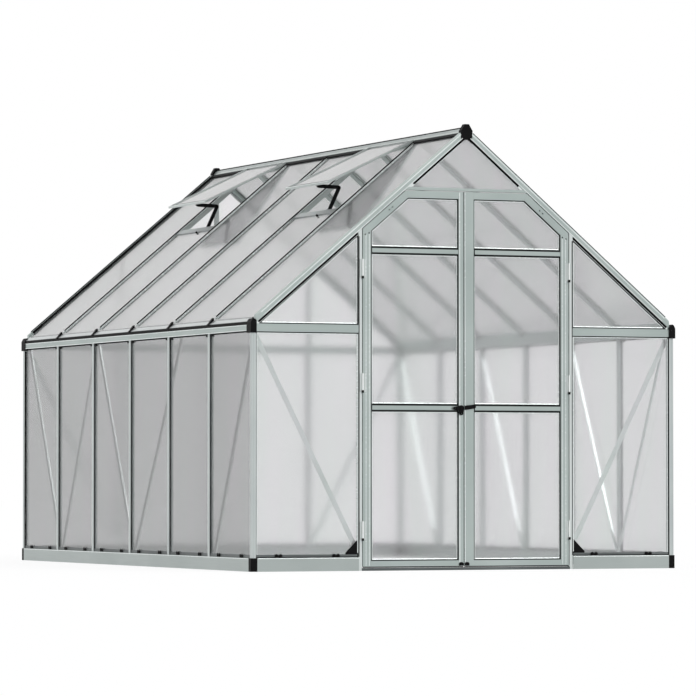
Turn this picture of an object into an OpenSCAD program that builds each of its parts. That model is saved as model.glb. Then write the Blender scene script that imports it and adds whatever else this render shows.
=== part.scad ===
// Hobby greenhouse: aluminium bars, twin-wall panels, black plastic corners, double hinged door.
// Millimetres. X runs along the door gable, Y runs back from it, Z is up from the ground.
// The origin is on the ground at the centre of the footprint. The doors are in the -Y gable.

/* [Plan and heights] */
// Width of one glazing bay, post centre to post centre
bay = 610; // [480:10:740]
// Number of bays along each long wall
side_bays = 6; // [5:1:8]
// Height of the visible face of the eave beam above ground, at its top
eave_h = 1298; // [1050:2:1600]
// Pitch of the roof in degrees
pitch = 40; // [32:1:46]
// Distance from the centre of a side wall's last post to the outside of the base rail
corner_out = 15; // [14:1:20]
// Distance from the last post's place across the gable to the outside of the base rail
gable_out = 27; // [20:1:30]

/* [Base] */
// Height of the base rail
base_h = 71; // [55:1:90]
// Depth of the base rail's flanges
base_d = 38; // [34:1:50]
// Wall of the base rail
base_t = 2.2; // [1.8:0.1:3]
// Length of a black corner cap along each wall
cap_l = 36; // [30:1:46]

/* [Frame bars] */
// Set-back of the posts behind the outside of the base rail
set_back = 5; // [3:0.5:8]
// Depth of a wall bar, outside face to inside face
bar_d = 30; // [26:1:36]
// How far the bars stand proud of the panels
proud = 9; // [6:0.5:12]
// Width of a bay post
post_w = 24; // [18:1:30]
// Width of the web between two panels
web_w = 4; // [3:0.5:6]
// Side of a square corner post
corner_w = 25; // [22:1:30]
// Width of a door post
door_post_w = 20; // [16:1:26]
// Height of a gable beam
beam_h = 42; // [34:1:50]
// Height of the eave beam's visible face
eave_face = 32; // [26:1:40]
// Height of the black seal above the eave beam
seal_h = 15; // [10:1:20]

/* [Roof bars] */
// Width of the gable rafter's face
rafter_face = 32; // [26:1:38]
// Depth of the gable rafter
rafter_d = 28; // [24:1:34]
// Width of a bay rafter
rafter_w = 18; // [14:1:24]
// How far a bay rafter's cap stands above the panels
rafter_proud = 5; // [3:0.5:8]
// Width of the glazing bead under a gable rafter
bead_w = 14; // [10:0.5:18]
// Length of each leg of the ridge beam down the slope
ridge_leg = 34; // [28:1:44]

/* [Glazing] */
// Thickness of a panel
panel_t = 4; // [4:0.5:6]
// Play between a panel's face and its bars
panel_play = 0.3; // [0.2:0.1:0.6]
// Play between a panel's edge and its bars
edge_play = 0.3; // [0.2:0.1:0.8]

/* [Doors] */
// Height of the leaves' top above the eave line, as a share of the roof's rise
door_share = 0.668; // [0.62:0.0005:0.7]
// Height of the underside of the door leaves
door_bottom = 22; // [20:1:30]
// Play round a door leaf
leaf_play = 5; // [5:0.5:8]
// Play between the two leaves
meeting_play = 6; // [6:0.5:9]
// Sideways offset of the meeting line from the middle of the gable
meeting_x = -16.5; // [-20:0.5:0]
// Thickness of a leaf
leaf_t = 26; // [22:1:30]
// Width of an outer stile
stile_w = 47; // [38:1:56]
// Width of the left leaf's meeting stile
left_meeting_w = 28; // [24:1:36]
// Width of the right leaf's meeting stile
right_meeting_w = 55; // [44:1:64]
// Width of the head rail and of the sloping rail
head_w = 38; // [32:1:46]
// Height of the bottom rail
bottom_rail_h = 30; // [24:1:40]
// Height of a crossrail
cross_h = 32; // [26:1:38]
// Height of the middle of the lower crossrail
cross_low_z = 866; // [780:1:940]
// Distance from the leaves' top down to the middle of the upper crossrail
cross_high_drop = 322; // [280:1:400]
// Height of the threshold
threshold_h = 15; // [10:1:17]

/* [Hinges and latch] */
// Heights of the hinges' middles
hinge_z = [213, 998, 1605];
// Height of a hinge
hinge_h = 97; // [80:1:120]
// Radius of a hinge's barrel
barrel_r = 4.5; // [4:0.1:5]
// Radius of a hinge's pin
pin_r = 2.5; // [2:0.1:3]
// Radial play round a pin
pin_play = 0.05; // [0.03:0.01:0.08]
// Width of a hinge's plate
plate_w = 15; // [12:1:17]
// Thickness of a hinge's plate
plate_t = 2; // [1.5:0.1:2.5]
// Gap between two knuckles of a hinge
knuckle_gap = 0.5; // [0.3:0.1:1]
// Radius of the latch's hub
hub_r = 15; // [12:0.5:18]
// Length of the latch lever's ear from the middle of the hub
lever_l = 46; // [36:1:56]

/* [Vents] */
// Bays with a vent in the left slope, counted from the door gable
vent_bays = [2, 5];
// Length of a vent's flap down the slope
vent_l = 612; // [520:2:700]
// Angle that a vent's flap is lifted from the slope
vent_lift = 14.5; // [10:0.5:18]
// Gap along the slope from the flap's end, when shut, to the crossbar's lower edge
vent_lap = 40; // [30:1:50]

/* [Hidden] */

gable_bays = 4;
width = gable_bays * bay + 2 * gable_out;
length = side_bays * bay + 2 * corner_out;
hw = width / 2;
hl = length / 2;
rise = tan(pitch);
// Outer face of the bars, measured inwards from the outside of the base
face = set_back;
// Faces of the panels, measured inwards from the outside of the base
glass_out = set_back + proud + panel_play;
bar_in = set_back + bar_d;

// The roof's outer planes meet above the ridge; the eave line is where they cross the side faces
eave_line = eave_h + 28;
apex = eave_line + hw * rise;
// Depths below the roof's outer plane, measured square to it
roof_glass_top = 12;
roof_glass_low = roof_glass_top + panel_t;
rafter_low = 40;

// Silver, panel and black as seen
silver = [0.66, 0.70, 0.69];
bright = [0.80, 0.83, 0.82];
clear = [0.80, 0.82, 0.83, 0.45];
black = [0.05, 0.05, 0.055];
grey = [0.28, 0.29, 0.29];

// Height of the line that lies d below the roof's outer plane, at distance x from the middle
function slope_z(x, d) = apex - x * rise - d / cos(pitch);
// Distance down the slope, from the apex, of a point at distance x from the middle and depth d
function slope_u(x, d) = (x + d * sin(pitch)) / cos(pitch);
// Centre of side post k, where 0 and side_bays are the corners
function post_y(k) = -hl + corner_out + k * bay;
// Centre of gable post k
function post_x(k) = -hw + gable_out + k * bay;

// Frame whose x runs down the right slope from the apex, and whose z is square to the slope
module on_slope() {
    translate([0, 0, apex])
        rotate([0, pitch, 0])
            children();
}
// The same on the left slope
module on_left_slope() {
    mirror([1, 0, 0])
        on_slope()
            children();
}
// Extrudes an (x, z) outline along +Y
module along_y(y, len) {
    translate([0, y + len, 0])
        rotate([90, 0, 0])
            linear_extrude(len)
                children();
}
// Extrudes a (y, z) outline along +X
module along_x(x, len) {
    translate([x, 0, 0])
        rotate([90, 0, 90])
            linear_extrude(len)
                children();
}
module both_sides() {
    children();
    mirror([1, 0, 0])
        children();
}
module both_gables() {
    children();
    mirror([0, 1, 0])
        children();
}

// ---- Base ----

// C section of the base rail, outer face on the left at x = 0
module base_section() {
    difference() {
        square([base_d, base_h]);
        translate([base_t, base_t])
            square([base_d, base_h - 2 * base_t]);
    }
}
module base_rails() {
    color(silver) {
        both_sides()
            along_y(-hl + cap_l, length - 2 * cap_l)
                translate([-hw, 0])
                    base_section();
        mirror([0, 1, 0])
            along_x(-hw + cap_l, width - 2 * cap_l)
                translate([-hl, 0])
                    base_section();
        both_sides()
            along_x(door_post_out, hw - cap_l - door_post_out)
                translate([-hl, 0])
                    base_section();
    }
}
module base_corner_caps() {
    color(black)
        both_sides()
            both_gables()
                translate([-hw, -hl, 0])
                    linear_extrude(base_h)
                        polygon([[3, 0], [cap_l, 0], [cap_l, cap_l], [0, cap_l], [0, 3]]);
}
module door_threshold() {
    lip = 4;
    color(silver)
        along_x(-door_post_in, 2 * door_post_in)
            translate([-hl, 0])
                polygon([[0, 0], [40, 0], [40, 6], [34, 6], [30, threshold_h], [26, threshold_h],
                    [24, 6], [14, 6], [12, threshold_h], [lip, threshold_h], [0, threshold_h - lip]]);
}

// ---- Posts ----

// Bay post section: outside face on the left at x = 0, grooves for the panels above and below
module post_section() {
    groove = panel_t + 2 * panel_play;
    inner_w = post_w - 4;
    polygon([[0, -post_w / 2 + 1.5], [1.5, -post_w / 2], [proud, -post_w / 2], [proud, -web_w / 2],
        [proud + groove, -web_w / 2], [proud + groove, -inner_w / 2], [bar_d, -inner_w / 2],
        [bar_d, inner_w / 2], [proud + groove, inner_w / 2], [proud + groove, web_w / 2],
        [proud, web_w / 2], [proud, post_w / 2], [1.5, post_w / 2], [0, post_w / 2 - 1.5]]);
}
module side_posts() {
    post_h = eave_h - eave_face - base_h;
    color(silver)
        for (k = [1 : side_bays - 1])
            translate([-hw + face, post_y(k), base_h])
                linear_extrude(post_h)
                    post_section();
}
module side_posts_left() side_posts();
module side_posts_right() mirror([1, 0, 0]) side_posts();

bracket_low = eave_h - eave_face - 11;
bracket_top = bracket_low + 76;
// Corner post: a square tube with an inner fin that seats the braces
module corner_posts() {
    color(silver)
        both_sides()
            both_gables()
                translate([-hw + face, -hl + face, base_h])
                    linear_extrude(bracket_low - base_h)
                        difference() {
                            union() {
                                square(corner_w);
                                translate([corner_w - 8, corner_w - 8])
                                    square(bar_d - corner_w + 8);
                            }
                            translate([8, -1])
                                square([2, 2.5]);
                            translate([-1, 8])
                                square([2.5, 2]);
                        }
}
// The posts of the back gable run up to the rafters, or to the ridge at the middle
module back_posts() {
    top_x = (apex - rafter_face / cos(pitch) - ridge_low + 4) / rise;
    color(silver)
        for (k = [1 : gable_bays - 1])
            intersection() {
                translate([post_x(k), hl - face, base_h])
                    linear_extrude(apex)
                        rotate(-90)
                            post_section();
                along_y(hl - face - bar_d - 1, bar_d + 2)
                    polygon([[-hw, 0], [hw, 0], [hw, slope_z(hw, rafter_face)],
                        [top_x, ridge_low - 4], [-top_x, ridge_low - 4],
                        [-hw, slope_z(hw, rafter_face)]]);
            }
}
door_post_in = bay + 1;
door_post_out = door_post_in + door_post_w;
// Door post, with a groove for the side panel and its top cut to the rafter
module door_posts() {
    groove_d = 6;
    color(bright)
        both_sides()
            intersection() {
                linear_extrude(apex)
                    difference() {
                        translate([-door_post_out, -hl + face])
                            square([door_post_w, bar_d]);
                        translate([-door_post_out - 1, -hl + glass_out - panel_play])
                            square([groove_d + 1, panel_t + 2 * panel_play]);
                    }
                along_y(-hl, bar_in + 10)
                    polygon([[-door_post_out, 0], [-door_post_in, 0],
                        [-door_post_in, slope_z(door_post_in, rafter_face)],
                        [-door_post_out, slope_z(door_post_out, rafter_face)]]);
            }
}

// ---- Eaves ----

// Distances from the middle to the faces of the upstand that carries the roof panels' lower edges
upstand = hw - face - corner_w - 1;
inner = upstand - 12;
module eave_beams() {
    beam_depth = roof_glass_low + panel_play;
    color(silver)
        both_sides()
            along_y(-hl + bracket_l, length - 2 * bracket_l)
                polygon([[hw, eave_h - eave_face], [hw, eave_h], [upstand, eave_h],
                    [upstand, slope_z(upstand, beam_depth)], [inner, slope_z(inner, beam_depth)],
                    [inner, eave_h - eave_face]]);
}
module eave_seals() {
    color(black)
        both_sides()
            along_y(-hl + bracket_l, length - 2 * bracket_l)
                polygon([[hw, eave_h], [hw, eave_h + seal_h - 2], [hw - 2, eave_h + seal_h],
                    [upstand, slope_z(upstand, roof_glass_top)], [upstand, eave_h]]);
}
bracket_l = 57;
bracket_proud = 4;
// Distance from the middle to the brackets' inner faces, where the gable rafters end
rafter_end = hw - face - corner_w;
// Black corner bracket with a pointed top, over the corner post; its lower wing lies outside the panel
module eave_brackets() {
    left = -hw - bracket_proud;
    right = -rafter_end;
    color(black)
        both_sides()
            both_gables()
                difference() {
                    along_y(-hl - bracket_proud, bracket_l + bracket_proud)
                        polygon([[left, bracket_low], [left, bracket_top - 22], [left + 9, bracket_top - 5],
                            [left + 16, bracket_top], [left + 25, bracket_top - 3],
                            [right, bracket_top - 12], [right, bracket_low]]);
                    translate([-hw + glass_out - panel_play, -hl + face + corner_w, bracket_low - 1])
                        cube([hw, bracket_l, eave_h - eave_face - bracket_low + 1]);
                }
}
beam_low = eave_h - eave_face - 4;
beam_top = beam_low + beam_h;
// Beams across the gables at eave height, between the posts
module gable_beam(x0, x1) {
    color(silver)
        translate([x0, -hl + face, beam_low])
            difference() {
                cube([x1 - x0, rafter_d, beam_h]);
                translate([-1, -1, beam_h - 8])
                    cube([x1 - x0 + 2, 2, 2]);
            }
}
module gable_beams() {
    both_sides() {
        gable_beam(-rafter_end, -door_post_out);
        mirror([0, 1, 0])
            gable_beam(-rafter_end, -bay - post_w / 2);
        mirror([0, 1, 0])
            gable_beam(-bay + post_w / 2, -post_w / 2);
    }
}

// ---- Roof bars ----

ridge_body = 14;
ridge_low = apex - 62;
// Ridge beam: a raised spine, a leg down each slope and a deep body between the rafters' heads
module ridge_beam() {
    leg_t = 4;
    spine = 7;
    leg_x = ridge_leg * cos(pitch);
    color(silver)
        along_y(-hl + face + rafter_d, length - 2 * face - 2 * rafter_d)
            polygon([[-spine, apex - 1], [-spine + 1, apex + 4], [spine - 1, apex + 4], [spine, apex - 1],
                [leg_x, slope_z(leg_x, 2)], [leg_x, slope_z(leg_x, 2 + leg_t)],
                [ridge_body, slope_z(ridge_body, 2 + leg_t)], [ridge_body, ridge_low + 4], [ridge_body - 4, ridge_low],
                [-ridge_body + 4, ridge_low], [-ridge_body, ridge_low + 4],
                [-ridge_body, slope_z(ridge_body, 2 + leg_t)], [-leg_x, slope_z(leg_x, 2 + leg_t)],
                [-leg_x, slope_z(leg_x, 2)]]);
}
cap_half = 34;
// Five-sided black cap that joins the heads of the two gable rafters
module ridge_end_caps() {
    color(black)
        both_gables()
            along_y(-hl, face + rafter_d)
                polygon([[-12, apex + 18], [12, apex + 18], [cap_half, apex - 18],
                    [cap_half - 4, apex - 52], [13, ridge_low - 4], [-13, ridge_low - 4],
                    [-cap_half + 4, apex - 52], [-cap_half, apex - 18]]);
}
// Gable rafter: a box bar on the slope, from the ridge cap down to the eave bracket
module gable_rafters() {
    ledge = 8;
    color(silver)
        both_sides()
            both_gables()
                intersection() {
                    on_slope()
                        along_x(0, hw / cos(pitch))
                            translate([-hl + face, 0])
                                polygon([[0, -rafter_face], [0, -6], [2, 0], [rafter_d, 0],
                                    [rafter_d, -roof_glass_low - panel_play],
                                    [rafter_d + ledge, -roof_glass_low - panel_play],
                                    [rafter_d + ledge, -roof_glass_low - 3], [rafter_d, -roof_glass_low - 3],
                                    [rafter_d, -rafter_face]]);
                    translate([cap_half, -hl, 0])
                        cube([rafter_end - cap_half, rafter_d + ledge + 20, apex + 100]);
                }
}
// Rafter section across y: a cap above the panels, a web and a stem below them
module rafter_section() {
    top = rafter_proud - roof_glass_top + panel_play;
    polygon([[-rafter_w / 2, -roof_glass_top + panel_play], [-rafter_w / 2, top - 1.5],
        [-rafter_w / 2 + 1.5, top], [rafter_w / 2 - 1.5, top], [rafter_w / 2, top - 1.5],
        [rafter_w / 2, -roof_glass_top + panel_play], [web_w / 2, -roof_glass_top + panel_play],
        [web_w / 2, -roof_glass_low - panel_play], [rafter_w / 2, -roof_glass_low - panel_play],
        [rafter_w / 2, -roof_glass_low - 3], [4, -roof_glass_low - 3], [4, -rafter_low],
        [-4, -rafter_low], [-4, -roof_glass_low - 3], [-rafter_w / 2, -roof_glass_low - 3],
        [-rafter_w / 2, -roof_glass_low - panel_play], [-web_w / 2, -roof_glass_low - panel_play],
        [-web_w / 2, -roof_glass_top + panel_play]]);
}
module roof_rafters() {
    color(silver)
        for (k = [1 : side_bays - 1])
            intersection() {
                on_slope()
                    along_x(0, hw / cos(pitch))
                        translate([post_y(k), 0])
                            rafter_section();
                translate([ridge_body, -hl, 0])
                    cube([inner - ridge_body, length, apex + 100]);
            }
}
module roof_rafters_right() roof_rafters();
module roof_rafters_left() mirror([1, 0, 0]) roof_rafters();

// Black clip over each rafter's foot, on the eave beam
module rafter_foot_clips() {
    clip_w = 24;
    color(black)
        both_sides()
            for (k = [1 : side_bays - 1])
                along_y(post_y(k) - clip_w / 2, clip_w)
                    polygon([[upstand + 0.3, slope_z(upstand, roof_glass_top) + 0.6],
                        [hw - 3, eave_h + seal_h + 1.2], [hw + 2, eave_h + seal_h - 4],
                        [hw + 3, eave_h + seal_h + 3], [hw - 4, eave_h + seal_h + 9],
                        [upstand + 4, slope_z(upstand, 0)], [upstand + 0.3, slope_z(upstand, 2)]]);
}

// Glazing bead under the gable rafters: an outer lip over the panel's edge, with a groove above it
module bead(x0, x1, z0) {
    lip_d = proud - 2;
    groove_w = bead_w - 5;
    intersection() {
        on_slope()
            along_x(0, hw / cos(pitch))
                translate([-hl + face + proud, 0])
                    polygon([[0, -rafter_face], [-lip_d + 4, -rafter_face],
                        [-lip_d + 4, -rafter_face - groove_w], [-lip_d, -rafter_face - groove_w],
                        [-lip_d, -rafter_face - bead_w], [0, -rafter_face - bead_w]]);
        translate([x0, -hl, z0])
            cube([x1 - x0, bar_d, apex]);
    }
}
module gable_beads() {
    color(bright)
        both_sides() {
            bead(door_post_out, rafter_end, beam_top);
            bead(cap_half, header_x, header_low + header_h);
            mirror([0, 1, 0])
                bead(bay + post_w / 2, rafter_end, beam_top);
            mirror([0, 1, 0])
                bead(cap_half, bay - post_w / 2, beam_top);
        }
}
door_top = eave_line + door_share * (apex - eave_line);
cross_high_z = door_top - cross_high_drop;
header_low = door_top + leaf_play;
header_h = 14;
header_x = (apex - rafter_face / cos(pitch) - header_low - header_h) / rise;
// Header across the doorway, its ends cut to the rafters
module door_header() {
    end_play = 0.1;
    top_x = header_x - end_play;
    low_x = top_x + header_h / rise;
    color(silver)
        along_y(-hl + face, rafter_d)
            polygon([[-low_x, header_low], [low_x, header_low], [top_x, header_low + header_h],
                [-top_x, header_low + header_h]]);
}

// ---- Braces, gussets, channels and clips ----

brace_w = 28;
// Flat brace with a stiffening lip, from the head of side post a to the foot of side post b; its
// head may stand short of post a
module side_brace(a, b, short = 0) {
    strip_t = 1.6;
    lip = 9;
    way = b > a ? 1 : -1;
    off = brace_w / 2 + 7;
    y0 = post_y(a) + way * ((a == 0 || a == side_bays ? 40 : off) - short);
    y1 = post_y(b) - way * (b == 0 || b == side_bays ? 40 : off);
    z0 = eave_h - eave_face - brace_w / 2 - 1;
    z1 = base_h + brace_w / 2 + 13;
    run = norm([y1 - y0, z1 - z0]);
    angle = atan2(z1 - z0, y1 - y0);
    translate([-hw + bar_in, y0, z0])
        rotate([angle, 0, 0])
            translate([0, -8, -brace_w / 2])
                union() {
                    cube([strip_t, run + 16, brace_w]);
                    cube([lip, run + 16, strip_t]);
                }
}
head_short = 150;
// Braces: the head's post and the foot's post, with 0 and side_bays for the corners
left_braces = concat([for (k = [0 : 2 : side_bays - 1]) [k, k + 1]], [[4, 3]],
    side_bays % 2 == 0 ? [[side_bays, side_bays - 1]] : []);
right_braces = concat([[0, 1]], [for (k = [2 : 2 : side_bays]) [k, k - 1]]);
module side_braces_left() {
    color(silver)
        for (b = left_braces)
            side_brace(b[0], b[1], b == [2, 3] ? head_short : 0);
}
module side_braces_right() {
    color(silver)
        mirror([1, 0, 0])
            for (b = right_braces)
                side_brace(b[0], b[1]);
}
// Braces of the gables, from the eave corners down to the nearest post's foot
module gable_brace(foot_x) {
    strip_t = 1.6;
    x0 = -hw + set_back + corner_w + 12;
    x1 = foot_x - 14;
    z0 = beam_low - brace_w / 2 - 13;
    z1 = base_h + brace_w / 2 + 13;
    run = norm([x1 - x0, z1 - z0]);
    translate([x0, -hl + bar_in, z0])
        rotate([0, atan2(z0 - z1, x1 - x0), 0])
            translate([-8, 0, -brace_w / 2])
                cube([run + 16, strip_t, brace_w]);
}
module gable_braces() {
    color(silver)
        both_sides() {
            gable_brace(-door_post_in);
            mirror([0, 1, 0])
                gable_brace(-bay);
        }
}
sill_h = 17;
sill_t = 4;
// Black triangular plates at the foot of the door posts, in front of the side panels
module gusset_plates() {
    leg = 72;
    color(black)
        both_sides()
            along_y(-hl + glass_out - panel_play - 3, 3)
                translate([-door_post_out, base_h + sill_h])
                    polygon([[0, 0], [0, leg + 3], [-6, leg + 3], [-leg, 9], [-leg, 0]]);
}
// A straight strip in front of the panels' lower edges, from p to q along the front
module sill(p, q) {
    translate([p, -hl + glass_out - panel_play - sill_t, base_h])
        cube([q - p, sill_t, sill_h]);
}
// Puts a piece that is made for the front wall on to the left wall
module turn_left() {
    translate([-hw + hl, 0, 0])
        rotate([0, 0, -90])
            children();
}
half_post = post_w / 2;
corner_clear = corner_w - corner_out + face + 0.3;
// First and last free places of side bay k, beside its posts
function bay_start(k) = post_y(k - 1) + (k == 1 ? corner_clear : half_post + 0.3);
function bay_end(k, n) = post_y(k) - (k == n ? corner_clear : half_post + 0.3);
module sill_channels() {
    color(grey)
        both_sides() {
            for (k = [1 : side_bays])
                turn_left()
                    sill(-bay_end(k, side_bays), -bay_start(k));
            sill(-hw + face + corner_w + 0.3, -door_post_out - 0.3);
            mirror([0, 1, 0]) {
                sill(-hw + face + corner_w + 0.3, -bay - half_post - 0.3);
                sill(-bay + half_post + 0.3, -half_post - 0.3);
            }
        }
}
// Clip of two round teeth on the sill channel, middle at x on the front
module clip(x) {
    tooth = 7.8;
    translate([x, -hl + glass_out - panel_play - sill_t, base_h + 3])
        rotate([90, 0, 0])
            linear_extrude(3)
                union() {
                    translate([-17, 0])
                        square([34, 3]);
                    intersection() {
                        union() {
                            translate([-8.5, 3])
                                circle(tooth, $fn = 24);
                            translate([8.5, 3])
                                circle(tooth, $fn = 24);
                        }
                        translate([-20, 0])
                            square([40, 20]);
                    }
                }
}
module two_clips(p, q) {
    clip(p + 0.22 * (q - p));
    clip(p + 0.78 * (q - p));
}
module glazing_clips() {
    color(black)
        both_sides() {
            for (k = [1 : side_bays])
                turn_left()
                    two_clips(-bay_end(k, side_bays), -bay_start(k));
            two_clips(-hw + face + corner_w, -door_post_out);
            mirror([0, 1, 0]) {
                two_clips(-hw + face + corner_w, -bay - half_post);
                two_clips(-bay + half_post, -half_post);
            }
        }
}

// ---- Panels ----

edge = web_w / 2 + edge_play;
// Panel of side bay k on the left wall
module side_panel(k) {
    y0 = k == 1 ? post_y(0) + corner_w - corner_out + face + edge_play : post_y(k - 1) + edge;
    y1 = k == side_bays ? post_y(k) - corner_w + corner_out - face - edge_play : post_y(k) - edge;
    translate([-hw + glass_out, y0, base_h + edge_play])
        cube([panel_t, y1 - y0, eave_h - eave_face - base_h - 2 * edge_play]);
}
module side_panels() {
    color(clear)
        for (k = [1 : side_bays])
            side_panel(k);
}
module side_panels_left() side_panels();
module side_panels_right() mirror([1, 0, 0]) side_panels();

// Panel in the front gable's plane between x0 and x1, from the base up to the beam
module low_gable_panel(x0, x1) {
    translate([x0, -hl + glass_out, base_h + edge_play])
        cube([x1 - x0, panel_t, beam_low - base_h - 2 * edge_play]);
}
// Panel above height z0, up to the rafter on the left
module high_gable_panel(x0, x1, z0) {
    top = rafter_face + edge_play;
    intersection() {
        along_y(-hl + glass_out, panel_t)
            polygon([[x0, z0], [x1, z0], [x1, slope_z(-x1, top)], [x0, slope_z(-x0, top)]]);
        translate([-hw, -hl, 0])
            cube([hw, bar_d, ridge_low - 4 - edge_play]);
    }
}
module back_panels() {
    inner_post = -bay - edge;
    color(clear)
        both_sides()
            mirror([0, 1, 0]) {
                low_gable_panel(-hw + face + corner_w + edge_play, inner_post);
                low_gable_panel(-bay + edge, -edge);
                high_gable_panel(-rafter_end + edge_play, inner_post, beam_top + edge_play);
                high_gable_panel(-bay + edge, -edge, beam_top + edge_play);
            }
}
module front_panels() {
    door_side = -door_post_out + 5;
    head_z = header_low + header_h + edge_play;
    half = header_x - 1;
    top = rafter_face + edge_play;
    cap_z = ridge_low - 4 - edge_play;
    cap_x = (apex - top / cos(pitch) - cap_z) / rise;
    color(clear) {
        both_sides() {
            low_gable_panel(-hw + face + corner_w + edge_play, door_side);
            high_gable_panel(-rafter_end + edge_play, door_side, beam_top + edge_play);
        }
        along_y(-hl + glass_out, panel_t)
            polygon([[-half, head_z], [half, head_z], [half, slope_z(half, top)], [cap_x, cap_z],
                [-cap_x, cap_z], [-half, slope_z(half, top)]]);
    }
}
// Roof panel of bay k on the right slope, from u0 down the slope to the eave seal
module roof_panel(k, u0) {
    y0 = k == 1 ? -hl + face + rafter_d + edge_play : post_y(k - 1) + edge;
    y1 = k == side_bays ? hl - face - rafter_d - edge_play : post_y(k) - edge;
    u1 = slope_u(upstand - 1, roof_glass_top);
    on_slope()
        translate([u0, y0, -roof_glass_low])
            cube([u1 - u0, y1 - y0, panel_t]);
}
panel_head = slope_u(ridge_body + edge_play, roof_glass_low);
module roof_panels_right() {
    color(clear)
        for (k = [1 : side_bays])
            roof_panel(k, panel_head);
}
module roof_panels_left() {
    color(clear)
        mirror([1, 0, 0])
            for (k = [1 : side_bays])
                roof_panel(k, len(search(k, vent_bays)) > 0 ? vent_bar_end + edge_play : panel_head);
}

// ---- Vents ----

vent_bar_end = vent_l + vent_lap + 12;
vent_bar_w = 38;
vent_bar_low = -30;
vent_hinge_u = slope_u(ridge_leg * cos(pitch), 6) + 3;
vent_hinge_w = -1;
vent_under = -5;
vent_t = 12;
vent_side = 4;
vent_bar = 20;
// Frame of the flap: x from the hinge down the flap, z square to it
module on_flap() {
    on_left_slope()
        translate([vent_hinge_u, 0, vent_hinge_w])
            rotate([0, -vent_lift, 0])
                children();
}
flap_l = vent_l - vent_hinge_u;
module vent_frame(k) {
    on_flap()
        translate([0, post_y(k - 1) + vent_side, vent_under])
            difference() {
                cube([flap_l, bay - 2 * vent_side, vent_t]);
                translate([vent_bar, vent_bar, -1])
                    cube([flap_l - 2 * vent_bar, bay - 2 * vent_side - 2 * vent_bar, vent_t + 2]);
            }
}
module vent_frames() {
    color(silver)
        for (k = vent_bays)
            vent_frame(k);
}
module vent_panels() {
    inset = vent_bar + edge_play;
    color(clear)
        for (k = vent_bays)
            on_flap()
                translate([inset, post_y(k - 1) + vent_side + inset, vent_under + (vent_t - panel_t) / 2])
                    cube([flap_l - 2 * inset, bay - 2 * vent_side - 2 * inset, panel_t]);
}
module vent_crossbars() {
    side = rafter_w / 2 + 0.3;
    color(silver)
        for (k = vent_bays)
            on_left_slope()
                translate([vent_bar_end - vent_bar_w, post_y(k - 1) + side, vent_bar_low])
                    cube([vent_bar_w, bay - 2 * side, -vent_bar_low - 7]);
}
// Flat link between two pivots p and q in the slope's plane section, lying between y and y + t
module link(p, q, y, t) {
    r = 7;
    run = norm(q - p);
    translate([p[0], y + t, p[1]])
        rotate([90, 0, 0])
            rotate(atan2(q[1] - p[1], q[0] - p[0])) {
                cylinder(t, r, r, $fn = 32);
                translate([run, 0, 0])
                    cylinder(t, r, r, $fn = 32);
                translate([0, -r, 0])
                    cube([run, 2 * r, t]);
            }
}
// Folding stay of a vent: two links that meet at an elbow, with a foot on the crossbar
module vent_stay(k) {
    y = post_y(k) - bay / 2 - 135;
    link_t = 4;
    foot = [vent_bar_end - vent_bar_w - 8, -14];
    elbow = [vent_l - 118, 44];
    drop = vent_under - 9;
    tip_x = flap_l - 14;
    tip = [vent_hinge_u + tip_x * cos(vent_lift) - drop * sin(vent_lift),
        vent_hinge_w + tip_x * sin(vent_lift) + drop * cos(vent_lift)];
    on_left_slope() {
        link(foot, elbow, y, link_t);
        link(tip, elbow, y + link_t, link_t);
        translate([elbow[0], y + 2 * link_t + 1, elbow[1]])
            rotate([90, 0, 0])
                cylinder(2 * link_t + 2, 8, 8, $fn = 32);
        translate([foot[0] - 7, y - 5, foot[1] - 7])
            cube([15, 2 * link_t + 8, 14]);
    }
    on_flap()
        translate([tip_x - 9, y - 4, vent_under - 14])
            cube([18, 3 * link_t + 6, 14]);
}
module vent_stays() {
    knob_r = 6;
    color(black)
        for (k = vent_bays) {
            vent_stay(k);
            on_left_slope()
                translate([vent_bar_end + knob_r + 2, post_y(k) - bay / 2 - 65, -roof_glass_top])
                    cylinder(11, knob_r, knob_r, $fn = 32);
        }
}

// ---- Door leaves ----

leaf_out = door_post_in - leaf_play;
left_edge = meeting_x - meeting_play / 2;
right_edge = meeting_x + meeting_play / 2;
leaf_y = -hl + face;
slope_top = rafter_face + leaf_play;
joint = 0.3;
// Height of the sloping edge of a leaf and of the sloping rail's inner edge
function leaf_slope(x) = slope_z(x, slope_top);
function rail_slope(x) = slope_z(x, slope_top + head_w);
// Distances from the middle at which those edges reach the head rail's top and underside
head_x = (apex - slope_top / cos(pitch) - door_top) / rise;
head_in_x = (apex - (slope_top + head_w) / cos(pitch) - door_top + head_w) / rise;

// Stiles of a leaf that hangs on the left, with its meeting edge at x = -edge_x
module stiles(edge_x, meeting_w) {
    xo = leaf_out;
    xi = leaf_out - stile_w;
    color(silver)
        along_y(leaf_y, leaf_t) {
            polygon([[-xo, door_bottom], [-xi, door_bottom], [-xi, rail_slope(xi)],
                [-xo, leaf_slope(xo)]]);
            translate([-edge_x - meeting_w, door_bottom])
                square([meeting_w, door_top - door_bottom]);
        }
}
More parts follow.
